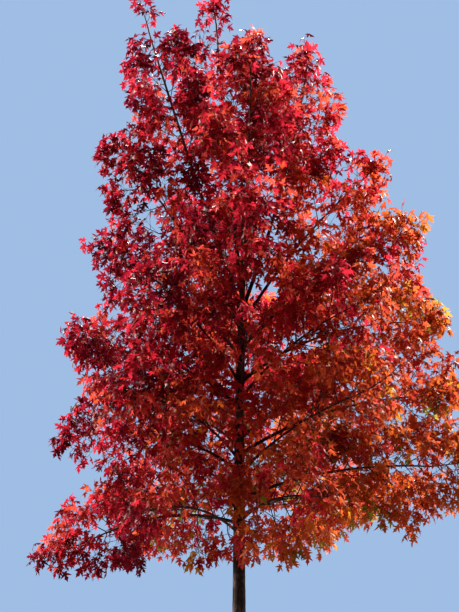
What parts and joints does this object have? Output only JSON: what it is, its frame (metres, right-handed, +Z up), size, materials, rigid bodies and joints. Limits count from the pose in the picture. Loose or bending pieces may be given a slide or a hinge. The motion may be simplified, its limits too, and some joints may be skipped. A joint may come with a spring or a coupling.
{
  "type": "young red maple tree in autumn leaf",
  "caption": "Young red maple rooted in the ground: one slim tapering trunk, rising boughs and an open, pointed crown of lobed leaves in crimson, scarlet and orange.",
  "frame": {"origin": "middle of the flat cut under the trunk, at ground level", "axes": "+Z up along the trunk, +X to the right and +Y away as the picture shows the tree"},
  "size_m": [3.0608, 2.4739, 6.4794],
  "materials": {
    "bark": "matt bark, smooth and grey-brown with shallow fissures low down",
    "foliage_crimson": "soft satin leaves that let light through, crimson and maroon",
    "foliage_scarlet": "soft satin leaves that let light through, scarlet",
    "foliage_orange": "soft satin leaves that let light through, orange-red",
    "foliage_rust": "soft satin leaves that let light through, rust and olive-gold"
  },
  "bodies": {
    "root": {"trunk": "bark", "bough_low_left": "bark", "bough_low_front_left": "bark", "bough_low_front_right": "bark", "bough_low_right": "bark", "bough_low_back_right": "bark", "bough_low_back_left": "bark", "bough_mid_left": "bark", "bough_mid_front_left": "bark", "bough_mid_front_right": "bark", "bough_mid_right": "bark", "bough_mid_back_right": "bark", "bough_mid_back_left": "bark", "bough_high_left": "bark", "bough_high_front_left": "bark", "bough_high_front": "bark", "bough_high_front_right": "bark", "bough_high_right": "bark", "bough_high_back": "bark", "bough_shoulder_left": "bark", "bough_shoulder_right": "bark", "bough_shoulder_front": "bark", "bough_shoulder_back": "bark", "bough_crown_left": "bark", "bough_crown_right": "bark", "bough_leader_left": "bark", "bough_leader_right": "bark", "bough_leader_front": "bark", "bough_leader_back": "bark", "bough_leader_top": "bark", "foliage_low_left": "foliage_crimson", "foliage_low_front_left": "foliage_scarlet", "foliage_low_front_right": "foliage_rust", "foliage_low_right": "foliage_orange", "foliage_low_back_right": "foliage_orange", "foliage_low_back_left": "foliage_scarlet", "foliage_mid_left": "foliage_crimson", "foliage_mid_front_left": "foliage_scarlet", "foliage_mid_front_right": "foliage_orange", "foliage_mid_right": "foliage_scarlet", "foliage_mid_back_right": "foliage_orange", "foliage_mid_back_left": "foliage_crimson", "foliage_high_left": "foliage_scarlet", "foliage_high_front_left": "foliage_crimson", "foliage_high_front": "foliage_crimson", "foliage_high_front_right": "foliage_scarlet", "foliage_high_right": "foliage_orange", "foliage_high_back": "foliage_scarlet", "foliage_shoulder_left": "foliage_crimson", "foliage_shoulder_right": "foliage_scarlet", "foliage_shoulder_front": "foliage_crimson", "foliage_shoulder_back": "foliage_crimson", "foliage_crown_left": "foliage_crimson", "foliage_crown_right": "foliage_scarlet", "foliage_leader_left": "foliage_crimson", "foliage_leader_right": "foliage_crimson", "foliage_leader_front": "foliage_crimson", "foliage_leader_back": "foliage_crimson", "foliage_leader_top": "foliage_crimson"}
  },
  "joints": []
}
